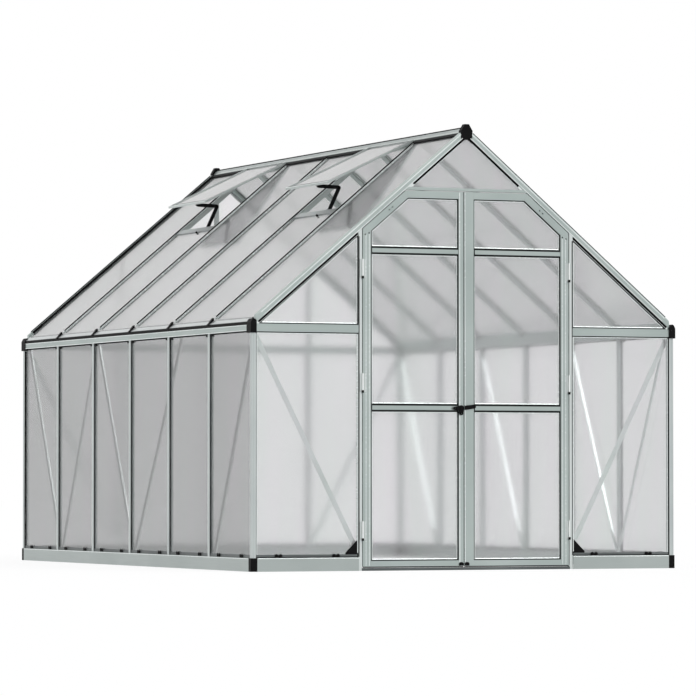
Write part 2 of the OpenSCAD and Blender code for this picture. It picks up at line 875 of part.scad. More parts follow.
// Rails of the same leaf: bottom, two crossrails, head and sloping rail
module rails(edge_x, meeting_w) {
    xo = leaf_out - joint;
    xi = leaf_out - stile_w;
    x0 = -xi + joint;
    x1 = -edge_x - meeting_w - joint;
    slot = 3;
    color(silver)
        along_y(leaf_y, leaf_t) {
            translate([x0, door_bottom])
                square([x1 - x0, bottom_rail_h]);
            polygon([[-xo, leaf_slope(xo)], [-head_x - joint, door_top], [-head_in_x - joint, door_top - head_w],
                [-xi, rail_slope(xi) + joint]]);
            polygon([[-head_x, door_top], [x1, door_top], [x1, door_top - head_w],
                [-head_in_x, door_top - head_w]]);
        }
    color(silver)
        for (z = [cross_low_z, cross_high_z])
            translate([x0, leaf_y + slot, z - cross_h / 2])
                cube([x1 - x0, leaf_t - slot, cross_h]);
}
// Panels of the same leaf: below, between and above the crossrails
module leaf_panels(edge_x, meeting_w) {
    xi = leaf_out - stile_w;
    x0 = -xi + joint;
    x1 = -edge_x - meeting_w - joint;
    y = leaf_y + proud;
    low = door_bottom + bottom_rail_h + joint;
    mid_low = cross_low_z + cross_h / 2 + joint;
    high_low = cross_high_z + cross_h / 2 + joint;
    color(clear) {
        translate([x0, y, low])
            cube([x1 - x0, panel_t, cross_low_z - cross_h / 2 - joint - low]);
        translate([x0, y, mid_low])
            cube([x1 - x0, panel_t, cross_high_z - cross_h / 2 - joint - mid_low]);
        along_y(y, panel_t)
            polygon([[x0, high_low], [x1, high_low], [x1, door_top - head_w - joint],
                [-head_in_x, door_top - head_w - joint], [x0, rail_slope(-x0) - joint]]);
    }
}
module left_door_stiles() stiles(-left_edge, left_meeting_w);
module left_door_rails() rails(-left_edge, left_meeting_w);
module left_door_panels() leaf_panels(-left_edge, left_meeting_w);
module right_door_stiles() mirror([1, 0, 0]) stiles(right_edge, right_meeting_w);
module right_door_rails() mirror([1, 0, 0]) rails(right_edge, right_meeting_w);
module right_door_panels() mirror([1, 0, 0]) leaf_panels(right_edge, right_meeting_w);

// ---- Hinges ----

hinge_x = door_post_in - leaf_play / 2;
hinge_y = leaf_y - barrel_r;
knuckle_h = (hinge_h - 2 * knuckle_gap) / 3;
pin_axis = [-hinge_x, hinge_y];
// Knuckle at height z with its plate, which lies on the leaf's face (way 1) or the post's (way -1)
module knuckle(z, h, bore_r, way, plate_z, plate_h) {
    reach = plate_w + leaf_play / 2;
    translate([pin_axis[0], pin_axis[1], 0])
        difference() {
            union() {
                translate([0, 0, z])
                    cylinder(h, barrel_r, barrel_r, $fn = 32);
                translate([way > 0 ? 0 : -reach, barrel_r - plate_t, z])
                    cube([reach, plate_t, h]);
                translate([way > 0 ? barrel_r + 0.6 : -reach, barrel_r - plate_t, plate_z])
                    cube([reach - barrel_r - 0.6, plate_t, plate_h]);
            }
            translate([0, 0, z - 1])
                cylinder(h + 2, bore_r, bore_r, $fn = 32);
        }
}
// Fixed halves on the door posts: a lower and an upper knuckle and the pin through all three
module fixed_hinge(z) {
    low = z - hinge_h / 2;
    high = low + 2 * (knuckle_h + knuckle_gap);
    knuckle(low, knuckle_h, 1, -1, low, hinge_h);
    knuckle(high, knuckle_h, 1, -1, low, hinge_h);
    translate([pin_axis[0], pin_axis[1], low - 2])
        cylinder(hinge_h + 4, pin_r, pin_r, $fn = 32);
}
module hinge_posts() {
    color(bright)
        both_sides()
            for (z = hinge_z)
                fixed_hinge(z);
}
module moving_hinge(z) {
    low = z - knuckle_h / 2;
    knuckle(low, knuckle_h, pin_r + pin_play, 1, z - hinge_h / 2, hinge_h);
}
module moving_hinges() {
    color(bright)
        for (z = hinge_z)
            moving_hinge(z);
}
module left_door_hinges() moving_hinges();
module right_door_hinges() mirror([1, 0, 0]) moving_hinges();

// ---- Latch and bolts ----

// Small guide block at the foot of a meeting stile, middle at x, with a round bolt head
module foot_bolt(x) {
    color(black)
        translate([x, leaf_y, door_bottom + 2])
            rotate([90, 0, 0]) {
                linear_extrude(4)
                    polygon([[-13, 0], [13, 0], [13, 12], [7, 18], [-7, 18], [-13, 12]]);
                translate([0, 9, 0])
                    cylinder(7, 4, 4, $fn = 32);
            }
}
module left_door_bolt() foot_bolt(left_edge - left_meeting_w / 2);
module right_door_bolt() foot_bolt(right_edge + left_meeting_w / 2);

latch_x = left_edge - hub_r - 1.5;
latch_z = cross_low_z;
spindle_r = 4;
rosette_t = 5;
lever_t = 7;
lever_off = rosette_t + knuckle_gap;
// Rosette, spindle and head that carry the lever
module latch_plate() {
    color(black)
        translate([latch_x, leaf_y, latch_z])
            rotate([90, 0, 0]) {
                cylinder(rosette_t, hub_r - 1, hub_r - 1, $fn = 48);
                cylinder(lever_off + lever_t + knuckle_gap + 3, spindle_r, spindle_r, $fn = 32);
                translate([0, 0, lever_off + lever_t + knuckle_gap])
                    cylinder(3, 9, 9, $fn = 32);
            }
}
// Turning lever: a round hub with an ear to the left and a padlock lobe below, both with a hole
module latch_lever() {
    color(black)
        translate([latch_x, leaf_y, latch_z])
            rotate([90, 0, 0])
                translate([0, 0, lever_off])
                    difference() {
                        union() {
                            cylinder(lever_t, hub_r, hub_r, $fn = 48);
                            linear_extrude(lever_t)
                                polygon([[0, hub_r - 2], [-lever_l + 8, 7], [-lever_l, 3], [-lever_l, -6],
                                    [-lever_l + 8, -10], [0, -hub_r + 2]]);
                            linear_extrude(lever_t)
                                polygon([[-hub_r + 1, 0], [-10, -34], [-4, -38], [4, -38], [10, -32],
                                    [hub_r - 1, 0]]);
                        }
                        translate([0, 0, -1])
                            cylinder(lever_t + 2, spindle_r + pin_play, spindle_r + pin_play, $fn = 32);
                        translate([-lever_l + 10, -1.5, -1])
                            cylinder(lever_t + 2, 3.5, 3.5, $fn = 24);
                        translate([0, -28, -1])
                            cylinder(lever_t + 2, 3.5, 3.5, $fn = 24);
                    }
}
// Keeper on the right leaf: a tapering arm in line with the lever
module latch_keeper() {
    keeper_l = 64;
    color(black)
        along_y(leaf_y - 8, 8)
            translate([right_edge, latch_z])
                polygon([[0, 13], [keeper_l - 10, 19], [keeper_l, 15], [keeper_l, 3], [keeper_l - 8, -2],
                    [18, -8], [0, -10]]);
}

base_rails();
base_corner_caps();
door_threshold();
corner_posts();
side_posts_left();
side_posts_right();
back_posts();
door_posts();
eave_beams();
eave_seals();
gable_beams();
eave_brackets();
ridge_beam();
ridge_end_caps();
gable_rafters();
roof_rafters_left();
roof_rafters_right();
gable_beads();
door_header();
side_braces_left();
side_braces_right();
gable_braces();
gusset_plates();
sill_channels();
glazing_clips();
rafter_foot_clips();
side_panels_left();
side_panels_right();
back_panels();
front_panels();
roof_panels_left();
roof_panels_right();
vent_frames();
vent_panels();
vent_crossbars();
vent_stays();
hinge_posts();
left_door_stiles();
left_door_rails();
left_door_panels();
left_door_hinges();
left_door_bolt();
latch_plate();
latch_lever();
right_door_stiles();
right_door_rails();
right_door_panels();
right_door_hinges();
right_door_bolt();
latch_keeper();
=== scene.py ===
import math

import bpy
import numpy as np
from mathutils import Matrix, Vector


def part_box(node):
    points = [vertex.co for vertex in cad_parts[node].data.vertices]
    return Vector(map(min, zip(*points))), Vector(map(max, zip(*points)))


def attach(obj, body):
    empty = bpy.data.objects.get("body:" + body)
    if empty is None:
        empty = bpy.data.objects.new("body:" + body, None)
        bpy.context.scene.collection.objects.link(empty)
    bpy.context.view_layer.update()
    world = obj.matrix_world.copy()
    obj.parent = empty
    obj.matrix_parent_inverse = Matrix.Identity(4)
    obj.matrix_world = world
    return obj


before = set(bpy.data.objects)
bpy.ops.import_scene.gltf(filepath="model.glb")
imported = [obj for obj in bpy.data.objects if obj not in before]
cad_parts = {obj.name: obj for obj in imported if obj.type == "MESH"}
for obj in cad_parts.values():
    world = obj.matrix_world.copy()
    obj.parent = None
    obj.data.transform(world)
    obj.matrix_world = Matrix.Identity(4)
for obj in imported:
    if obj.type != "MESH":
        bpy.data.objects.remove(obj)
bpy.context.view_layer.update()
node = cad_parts

# ---- Studio ----
# A pale floor under a white surround, with soft daylight from all round and one wide lamp from
# the front right. Floor and surround show white to the eye, in metal and through the glazing.
world = bpy.data.worlds.new("surround")
bpy.context.scene.world = world
world.use_nodes = True
tree = world.node_tree
tree.nodes.clear()
rays = tree.nodes.new("ShaderNodeLightPath")


def white_share(tree, rays, most):
    """most where a ray comes from the camera, a glossy face or the glazing, and 0 elsewhere."""
    total = rays.outputs["Is Camera Ray"]
    for other in ("Is Glossy Ray", "Is Transmission Ray"):
        add = tree.nodes.new("ShaderNodeMath")
        add.operation = "MAXIMUM"
        tree.links.new(total, add.inputs[0])
        tree.links.new(rays.outputs[other], add.inputs[1])
        total = add.outputs[0]
    scale = tree.nodes.new("ShaderNodeMath")
    scale.operation = "MULTIPLY"
    scale.inputs[1].default_value = most
    tree.links.new(total, scale.inputs[0])
    return scale.outputs[0]


def mix_shaders(tree, share, first, second):
    """first times (1 - share) + second times share, to the material's or world's output."""
    mix = tree.nodes.new("ShaderNodeMixShader")
    tree.links.new(share, mix.inputs[0])
    tree.links.new(first, mix.inputs[1])
    tree.links.new(second, mix.inputs[2])
    kind = "ShaderNodeOutputWorld" if tree == world.node_tree else "ShaderNodeOutputMaterial"
    out = tree.nodes.new(kind)
    tree.links.new(mix.outputs[0], out.inputs["Surface"])


daylight = tree.nodes.new("ShaderNodeBackground")
daylight.inputs["Color"].default_value = (0.97, 0.985, 1.0, 1)
daylight.inputs["Strength"].default_value = 0.62
white = tree.nodes.new("ShaderNodeBackground")
white.inputs["Strength"].default_value = 1.0
white.inputs["Color"].default_value = (1, 1, 1, 1)
mix_shaders(tree, white_share(tree, rays, 1.0), daylight.outputs[0], white.outputs[0])

floor_mesh = bpy.data.meshes.new("floor")
turn = np.linspace(0, 2 * math.pi, 96, endpoint=False)
rim = np.stack([60 * np.cos(turn), 60 * np.sin(turn), np.full(96, -0.0006)], 1)
floor_mesh.from_pydata(rim.tolist(), [], [list(range(96))])
floor = bpy.data.objects.new("floor", floor_mesh)
bpy.context.scene.collection.objects.link(floor)
pale = bpy.data.materials.new("pale_floor")
pale.use_nodes = True
tree = pale.node_tree
tree.nodes.clear()
matt = tree.nodes.new("ShaderNodeBsdfDiffuse")
matt.inputs["Color"].default_value = (0.9, 0.9, 0.9, 1)
glow = tree.nodes.new("ShaderNodeEmission")
glow.inputs["Strength"].default_value = 1.04
rays = tree.nodes.new("ShaderNodeLightPath")
mix_shaders(tree, white_share(tree, rays, 0.86), matt.outputs[0], glow.outputs[0])
floor_mesh.materials.append(pale)

lamp = bpy.data.lights.new("wide_lamp", "SUN")
lamp.energy = 1.1
lamp.angle = math.radians(25)
sun = bpy.data.objects.new("wide_lamp", lamp)
sun.rotation_euler = (math.radians(48), math.radians(8), math.radians(28))
bpy.context.scene.collection.objects.link(sun)

lens = bpy.data.cameras.new("camera")
lens.sensor_width = 36
lens.lens = 229.04
lens.clip_end = 200
camera = bpy.data.objects.new("camera", lens)
camera.location = (-9.9142, -23.4011, 0.4868)
camera.rotation_euler = (math.radians(91.694), 0, math.radians(-23.157))
bpy.context.scene.collection.objects.link(camera)
bpy.context.scene.camera = camera
bpy.context.scene.view_settings.view_transform = "Standard"

# ---- Base ----
# A ring of pressed C rails of mill-finish aluminium stands on the ground, joined at the corners
# by moulded caps of black plastic. A low extruded threshold closes it across the doorway.


def shader(name, **sockets):
    """A new material and its Principled shader, with constants set on the shader's own sockets."""
    made = bpy.data.materials.new(name)
    made.use_nodes = True
    principled = made.node_tree.nodes["Principled BSDF"]
    for socket, value in sockets.items():
        principled.inputs[socket.replace("_", " ")].default_value = value
    return made, principled


def noise(made, stretch, detail):
    """Cloud noise from 0 to 1 on the piece's own coordinates, scaled by stretch along X, Y, Z."""
    tree = made.node_tree
    place = tree.nodes.new("ShaderNodeTexCoord")
    scale = tree.nodes.new("ShaderNodeMapping")
    scale.inputs["Scale"].default_value = stretch
    cloud = tree.nodes.new("ShaderNodeTexNoise")
    cloud.inputs["Scale"].default_value = 1
    cloud.inputs["Detail"].default_value = detail
    tree.links.new(place.outputs["Object"], scale.inputs["Vector"])
    tree.links.new(scale.outputs["Vector"], cloud.inputs["Vector"])
    return cloud.outputs["Fac"]


def between(made, share, low, high, socket):
    """Feeds socket with low + (high - low) * share, where low and high are numbers or colours."""
    tree = made.node_tree
    ramp = tree.nodes.new("ShaderNodeValToRGB")
    ramp.color_ramp.elements[0].position = 0.3
    ramp.color_ramp.elements[1].position = 0.7
    for stop, value in zip(ramp.color_ramp.elements, (low, high)):
        stop.color = (*value, 1) if hasattr(value, "__len__") else (value, value, value, 1)
    tree.links.new(share, ramp.inputs["Fac"])
    tree.links.new(ramp.outputs["Color"], socket)


def bump(made, principled, height, depth):
    """Bends the surface's normal as if height, from 0 to 1, raised it by up to depth metres."""
    tree = made.node_tree
    raised = tree.nodes.new("ShaderNodeBump")
    raised.inputs["Distance"].default_value = depth
    tree.links.new(height, raised.inputs["Height"])
    tree.links.new(raised.outputs["Normal"], principled.inputs["Normal"])


def aluminium(name, dark, light, stretch, rough=0.34):
    """Extruded aluminium: cloudy tone between dark and light, and fine drawing lines that are
    noise stretched along the bar, as bump and as a change of roughness."""
    made, principled = shader(name, Metallic=0.9, IOR=1.5)
    tone = noise(made, (2.3, 2.1, 2.9), 3)
    lines = noise(made, stretch, 2)
    between(made, tone, dark, light, principled.inputs["Base Color"])
    between(made, lines, rough - 0.05, rough + 0.06, principled.inputs["Roughness"])
    bump(made, principled, lines, 0.00006)
    return made


def dress(names, made):
    """Puts the material on each named CAD node."""
    for name in names:
        for slot in node[name].material_slots:
            slot.material = made


along_x, along_y, along_z = (3, 420, 420), (420, 3, 420), (420, 420, 3)
silver_dark, silver_light = (0.36, 0.415, 0.40), (0.42, 0.475, 0.46)
rail_metal = aluminium("rail_aluminium", (0.35, 0.39, 0.38), (0.40, 0.44, 0.43), (5, 5, 420))
dress(["base_rails"], rail_metal)
dress(["door_threshold"], aluminium("threshold_aluminium", (0.085, 0.095, 0.095),
                                    (0.14, 0.155, 0.155), along_x, 0.42))


def moulded(name, tone, rough):
    """Moulded black plastic: near-black with a fine spark-eroded grain and faint cloudiness."""
    made, principled = shader(name, IOR=1.4)
    principled.inputs["Specular IOR Level"].default_value = 0.1
    grain = noise(made, (900, 900, 900), 2)
    cloud = noise(made, (14, 14, 14), 3)
    between(made, cloud, (tone, tone, tone * 1.05), (tone * 1.7, tone * 1.7, tone * 1.8),
            principled.inputs["Base Color"])
    between(made, grain, rough - 0.06, rough + 0.08, principled.inputs["Roughness"])
    bump(made, principled, grain, 0.00012)
    return made


plastic = moulded("black_plastic", 0.0035, 0.5)
dress(["base_corner_caps"], plastic)


def ribbon(width, height):
    """Section of a strip: width by height, its two upper corners rounded off over about a third
    of the smaller of the two."""
    a, r = width / 2, min(width, height) * 0.35
    return [(-a, 0), (a, 0), (a, height - r), (a - 0.3 * r, height - 0.3 * r), (a - r, height),
            (-a + r, height), (-a + 0.3 * r, height - 0.3 * r), (-a, height - r)]


def bars(name, starts, ends, out, section, made, body="frame"):
    """Straight strips, one from each start to its end. A corner lies at start or end
    + u * side + w * out, where (u, w) runs round the section, out is the way that the strip
    faces and side is out crossed with the strip's direction."""
    p = np.asarray(starts, float).reshape(-1, 3)
    q = np.asarray(ends, float).reshape(-1, 3)
    along = (q - p) / np.linalg.norm(q - p, axis=1)[:, None]
    out = np.broadcast_to(np.asarray(out, float), p.shape)
    side = np.cross(out, along)
    u, w = np.asarray(section, float).T
    ring = u[None, :, None] * side[:, None] + w[None, :, None] * out[:, None]
    points = np.concatenate([p[:, None] + ring, q[:, None] + ring], 1)
    m, n = len(p), len(u)
    here = np.arange(n)
    after = (here + 1) % n
    first = 2 * n * np.arange(m)[:, None, None]
    sides = first + np.stack([here, after, after + n, here + n], 1)
    caps = np.concatenate([first[:, 0] + here[::-1], first[:, 0] + n + here])
    mesh = bpy.data.meshes.new(name)
    mesh.from_pydata(points.reshape(-1, 3).tolist(), [],
                     sides.reshape(-1, 4).tolist() + caps.tolist())
    mesh.materials.append(made)
    strip = bpy.data.objects.new(name, mesh)
    bpy.context.scene.collection.objects.link(strip)
    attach(strip, body)
    return strip


X, Y, Z = np.eye(3)
half_w, half_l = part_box("base_rails")[1][0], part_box("base_rails")[1][1]
rail_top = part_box("base_rails")[1][2]
cap = 0.038
door_out = 0.631

# Painted highlight: a strip of lighter aluminium along each rail's upper edge, where the light
# catches it.
painted_highlight = aluminium("bright_aluminium", (0.66, 0.71, 0.70), (0.76, 0.80, 0.79), (90, 90, 90), 0.24)
edge_z = rail_top - 0.003
bars("base_edge_highlight_sides",
     [(-half_w, half_l - cap, edge_z), (half_w, -half_l + cap, edge_z)],
     [(-half_w, -half_l + cap, edge_z), (half_w, half_l - cap, edge_z)],
     [-X, X], ribbon(0.004, 0.0009), painted_highlight)
bars("base_edge_highlight_gables",
     [(-half_w + cap, -half_l, edge_z), (door_out, -half_l, edge_z),
      (half_w - cap, half_l, edge_z)],
     [(-door_out, -half_l, edge_z), (half_w - cap, -half_l, edge_z),
      (-half_w + cap, half_l, edge_z)],
     [-Y, -Y, Y], ribbon(0.004, 0.0009), painted_highlight)

# ---- Posts ----
# Extruded aluminium bars with a groove down each side for the panels. A black glazing gasket is
# pressed in along both sides of every bar, and a small black clip holds each panel's head.
post_metal = aluminium("post_aluminium", (0.46, 0.50, 0.50), (0.53, 0.57, 0.56), along_z)
dress(["side_posts_left", "side_posts_right", "back_posts", "corner_posts"], post_metal)
dress(["door_posts"], aluminium("door_post_aluminium", (0.56, 0.60, 0.59), (0.62, 0.66, 0.65),
                                along_z))
# Black rubber for the glazing gaskets. The same material also makes strips of painted shade under
# the eaves, on the ridge, along the roof's gable edges, on the crossrails and under the leaves.
rubber_and_painted_shade = moulded("glazing_rubber_and_painted_shade", 0.003, 0.62)

posts_low, posts_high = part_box("side_posts_left")
post_half, corner_w = 0.012, 0.030
bay = (posts_high[1] - posts_low[1] - 2 * post_half) / 4
side_y = posts_low[1] + post_half + bay * np.arange(5)
foot_z, head_z = rail_top + 0.004, posts_high[2] - 0.003
edges_y = np.concatenate([side_y - post_half, side_y + post_half])
way = np.repeat([-1.0, 1.0], 5)
glass_in, face_in = 0.0143, 0.005


def column(x, y, z):
    """Points (x, y, z) as rows, with single numbers repeated to the longest."""
    return np.stack(np.broadcast_arrays(*map(np.atleast_1d, (x, y, z))), 1).astype(float)


for label, sign in (("left", -1), ("right", 1)):
    x = sign * (half_w - 0.0118)
    bars(f"post_gaskets_{label}", column(x, edges_y, foot_z), column(x, edges_y, head_z),
         way[:, None] * Y, ribbon(0.0048, 0.0018), rubber_and_painted_shade)
    # Painted highlight: light strips along the two edges of each post's face.
    x = sign * (half_w - face_in)
    bars(f"post_edge_highlights_{label}", column(x, edges_y - way * 0.0016, foot_z),
         column(x, edges_y - way * 0.0016, head_z), sign * X, ribbon(0.0026, 0.0007), painted_highlight)
    x = sign * (half_w - glass_in)
    clip_y = edges_y + way * 0.0024
    bars(f"panel_head_clips_{label}", column(x, clip_y, head_z - 0.006),
         column(x, clip_y + way * 0.036, head_z - 0.006), sign * X,
         ribbon(0.012, 0.006), rubber_and_painted_shade)

back_x = bay * np.array([-1, 0, 1])
edges_x = np.concatenate([back_x - post_half, back_x + post_half])
way_x = np.repeat([-1.0, 1.0], 3)
bars("post_gaskets_back", column(edges_x, half_l - 0.0097, foot_z),
     column(edges_x, half_l - 0.0097, 1.26), way_x[:, None] * X, ribbon(0.0085, 0.0022), rubber_and_painted_shade)
corner_in = half_w - corner_w
corner_head = 1.252
corner_feet = column([-corner_in, corner_in, -corner_in, corner_in],
                     [-half_l + 0.010, -half_l + 0.010, half_l - 0.010, half_l - 0.010], foot_z)
bars("corner_gaskets_gables", corner_feet, corner_feet + (corner_head - foot_z) * Z,
     np.array([1, -1, 1, -1])[:, None] * X, ribbon(0.0085, 0.0026), rubber_and_painted_shade)
corner_y = column([-half_w + 0.010, half_w - 0.010] * 2,
                  [-half_l + corner_w] * 2 + [half_l - corner_w] * 2, foot_z)
bars("corner_gaskets_sides", corner_y, corner_y + (corner_head - foot_z) * Z,
     np.array([1, 1, -1, -1])[:, None] * Y, ribbon(0.0085, 0.0026), rubber_and_painted_shade)

# ---- Door posts ----
# Brighter bars beside the doorway. A deep groove runs down near the outer edge, with the panel's
# gasket in it, and a strip of painted highlight runs along the edge.
face_y = -half_l + face_in
groove_x, highlight_x = [-0.6282, 0.6282], [-0.6345, 0.6345]
bars("door_post_grooves", column(groove_x, face_y, foot_z), column(groove_x, face_y, 1.775),
     -Y, ribbon(0.0046, 0.0008), rubber_and_painted_shade)
bars("door_post_edge_highlights", column(highlight_x, face_y + 0.006, foot_z + 0.02),
     column(highlight_x, face_y + 0.006, 1.255), -Y, ribbon(0.0055, 0.003), painted_highlight)

# ---- Eaves ----
# A box beam of silver aluminium carries the roof panels' lower edges, and its face has a strip of
# painted highlight above and below. A black rubber seal lies along its top, and a light strip over
# the seal closes the roof panels' ends between the rafters. A black strip under the beam is painted
# shade of the gap below it.
dress(["eave_beams"], aluminium("eave_aluminium", silver_dark, silver_light, along_y))
seal_rubber = moulded("eave_seal_rubber", 0.003, 0.55)
dress(["eave_seals"], seal_rubber)
dress(["eave_brackets", "rafter_foot_clips"], plastic)
wing = 0.058
pitch = math.radians(40)
apex = 1.326 + half_w * math.tan(pitch)
light_strip = aluminium("panel_end_aluminium", (0.50, 0.53, 0.53), (0.57, 0.60, 0.60), along_y, 0.3)


def roof_point(u, y, w, sign):
    """Points u down the slope from the apex and w above the roof's outer plane, at y:
    x = sign * (u cos pitch + w sin pitch) and z = apex - u sin pitch + w cos pitch."""
    u, y, w = np.broadcast_arrays(*map(np.atleast_1d, (u, y, w)))
    return np.stack([sign * (u * math.cos(pitch) + w * math.sin(pitch)), y,
                     apex - u * math.sin(pitch) + w * math.cos(pitch)], 1)


def slope_out(sign):
    """Unit vector square to the left (-1) or right (1) slope, pointing out of the roof."""
    return roof_point(0, 0, 1, sign)[0] - roof_point(0, 0, 0, sign)[0]


bay_ends = np.concatenate([[-half_l + wing], side_y, [half_l - wing]])
rafter_half, strip_depth = 0.013, 0.0125
strip_from = bay_ends[:-1] + np.where(np.arange(6) > 0, rafter_half, 0)
strip_to = bay_ends[1:] - np.where(np.arange(6) < 5, rafter_half, 0)
strip_u = (half_w - 0.017 + strip_depth * math.sin(pitch)) / math.cos(pitch)
beam_edges_z, shadow_line_z = [1.2682, 1.2955], 1.2625
for sign, label in ((-1, "left"), (1, "right")):
    x = sign * half_w
    # Painted highlight: light strips along the beam face's upper and lower edges.
    bars(f"eave_edge_highlights_{label}", column(x, -half_l + wing, beam_edges_z),
         column(x, half_l - wing, beam_edges_z), sign * X, ribbon(0.0042, 0.0012), painted_highlight)
    # Painted shade: a black strip below the beam, where the gap under it lies in shadow.
    x = sign * (half_w - glass_in)
    bars(f"eave_shadow_line_{label}", column(x, -half_l + wing, shadow_line_z),
         column(x, half_l - wing, shadow_line_z), sign * X, ribbon(0.0065, 0.005), rubber_and_painted_shade)
    outward = slope_out(sign)
    bars(f"panel_end_strips_{label}", roof_point(strip_u, strip_from, -strip_depth, sign),
         roof_point(strip_u, strip_to, -strip_depth, sign), outward, ribbon(0.030, 0.0026),
         light_strip)

# ---- Roof bars ----
# Gable rafters, bay rafters and the ridge are extruded aluminium. A black bead and a strip of
# painted highlight run along each bay rafter's cap, and black gaskets along the gables and the
# ridge's lower edge. Light and dark lines on the ridge, light lines on the gable rafters' edges and
# dark strips along the roof's gable edges are painted highlight and painted shade.
gable_metal = aluminium("gable_aluminium", silver_dark, silver_light, (60, 60, 60))
dress(["gable_rafters", "gable_beams", "door_header"], gable_metal)
# The gable beads take the painted highlight material.
dress(["gable_beads"], painted_highlight)
dress(["ridge_beam"], aluminium("ridge_aluminium", (0.34, 0.38, 0.37), (0.41, 0.45, 0.44),
                                (60, 8, 60)))
dress(["roof_rafters_left", "roof_rafters_right"],
      aluminium("rafter_aluminium", (0.40, 0.44, 0.43), (0.47, 0.51, 0.50), (60, 420, 60)))
dress(["ridge_end_caps"], plastic)

foot_u = (half_w - 0.045) / math.cos(pitch)
rafter_span = (0.034 / math.cos(pitch), (half_w - 0.030) / math.cos(pitch))
gasket_runs = {-1: ((0.042, 0.86), (0.435, 1.60)), 1: ((0.05, 0.83), (0.77, 1.58))}
seal_u, seal_depth, crest_x = 0.0465, 0.0118, 0.0068
for sign, label in ((-1, "left"), (1, "right")):
    outward = slope_out(sign)
    # The rafter edges are strips of painted highlight beside each cap's black bead.
    for name, width, height, offset, w0, made, slot in (
            ("rafter_gaskets", 0.0090, 0.0058, -0.0030, -0.0067, rubber_and_painted_shade, "dark_trim"),
            ("rafter_edges", 0.0016, 0.0050, -0.0098, -0.0121, painted_highlight, "bright_aluminium")):
        y = side_y + offset
        bars(f"{name}_{label}", roof_point(0.046, y, w0, sign), roof_point(foot_u, y, w0, sign),
             outward, ribbon(width, height), made)
    ends_y = (-half_l + 0.034, half_l - 0.034)
    seal_from = [ends_y[0], side_y[1] + 0.002, side_y[4] + 0.002] if sign < 0 else ends_y[:1]
    seal_to = [side_y[0] - 0.002, side_y[3] - 0.002, ends_y[1]] if sign < 0 else ends_y[1:]
    bars(f"ridge_seal_{label}", roof_point(seal_u, seal_from, -seal_depth, sign),
         roof_point(seal_u, seal_to, -seal_depth, sign), outward, ribbon(0.0250, 0.0080),
         seal_rubber)
    # Painted highlight and painted shade: a light line and a dark line along the ridge's face on
    # each slope, and a dark line along its crest.
    for n, (u, width, height, made, slot) in enumerate((
            (0.0305, 0.0060, 0.0012, painted_highlight, "bright_aluminium"),
            (0.0205, 0.0080, 0.0008, rubber_and_painted_shade, "dark_trim"))):
        bars(f"ridge_line_{n}_{label}", roof_point(u, ends_y[:1], -0.002, sign),
             roof_point(u, ends_y[1:], -0.002, sign), outward, ribbon(width, height),
             made)
    bars(f"ridge_crest_{label}", column(sign * crest_x, ends_y[:1], apex + 0.0008),
         column(sign * crest_x, ends_y[1:], apex + 0.0008), sign * X, ribbon(0.0062, 0.0012),
         rubber_and_painted_shade)
    for end, gable in ((-1, "front"), (1, "back")):
        y = end * (half_l - face_in)
        # Painted highlight: light lines along the upper and lower edges of each gable rafter's
        # face.
        for name, w0, width, height in (("upper", -0.0085, 0.0055, 0.0008),
                                        ("lower", -0.0293, 0.0046, 0.0010)):
            bars(f"gable_rafter_{name}_edge_{gable}_{label}",
                 roof_point(rafter_span[0] + 0.004, y, w0, sign),
                 roof_point(rafter_span[1] - 0.03, y, w0, sign), end * Y, ribbon(width, height),
                 painted_highlight)
        y = end * (half_l - 0.011)
        tops, feet = gasket_runs[end]
        bars(f"gable_gasket_{gable}_{label}", roof_point(tops, y, -0.0385, sign),
             roof_point(feet, y, -0.0385, sign), end * Y, ribbon(0.0120, 0.0054), rubber_and_painted_shade)
        # Painted shade: dark strips along the roof's gable edges, on the back and on the front of
        # the right slope, for the dark outline of the gable rafters there.
        for n, in_from_end in enumerate((0.0095, 0.0360)):
            if end > 0 or sign > 0:
                y = end * (half_l - in_from_end)
                w0 = 0 if n == 0 else -0.012
                bars(f"roof_edge_seal_{n}_{gable}_{label}",
                     roof_point(rafter_span[0] + 0.006, y, w0, sign),
                     roof_point(rafter_span[1] - 0.03, y, w0, sign), outward,
                     ribbon(0.0070, 0.0040 if n == 0 else 0.0130), rubber_and_painted_shade)

# ---- Glazing ----
# Twin-wall polycarbonate, 4 mm thick, with fine ribs that run up the walls and down the roof.
# It blurs what is behind it, more across the ribs than along them. Each side of the house has its
# own grey for the sheet, darker on the left wall, the roof and the vents: painted shade for how dim
# these sides look.
rib_pitch = 0.006


def polycarbonate(name, tint_and_shade, across, rough=0.075):
    """Clear ribbed sheet: glass whose grey is tint_and_shade, the sheet's own grey darkened on some
    sides as painted shade, and whose bump is a sine wave across the ribs, one wave in rib_pitch,
    with a faint cloudy lilac and green cast. Lamps shine through it."""
    made, principled = shader(name, IOR=1.42, Roughness=rough, Transmission_Weight=0.87)
    tree = made.node_tree
    cast = noise(made, tuple(9.0 if axis == across else 0.7 for axis in range(3)), 2)
    between(made, cast, tuple(tint_and_shade * k for k in (0.985, 1.01, 1.0)),
            tuple(tint_and_shade * k for k in (1.015, 1.0, 1.02)), principled.inputs["Base Color"])
    place = tree.nodes.new("ShaderNodeTexCoord")
    ribs = tree.nodes.new("ShaderNodeTexWave")
    ribs.bands_direction = "XYZ"[across]
    ribs.inputs["Scale"].default_value = 2 * math.pi / rib_pitch / 20
    tree.links.new(place.outputs["Object"], ribs.inputs["Vector"])
    bump(made, principled, ribs.outputs["Fac"], 0.000012)
    rays = tree.nodes.new("ShaderNodeLightPath")
    clear = tree.nodes.new("ShaderNodeBsdfTransparent")
    clear.inputs["Color"].default_value = (0.8, 0.8, 0.8, 1)
    tree.nodes.remove(tree.nodes["Material Output"])
    mix_shaders(tree, rays.outputs["Is Shadow Ray"], principled.outputs[0], clear.outputs[0])
    return made


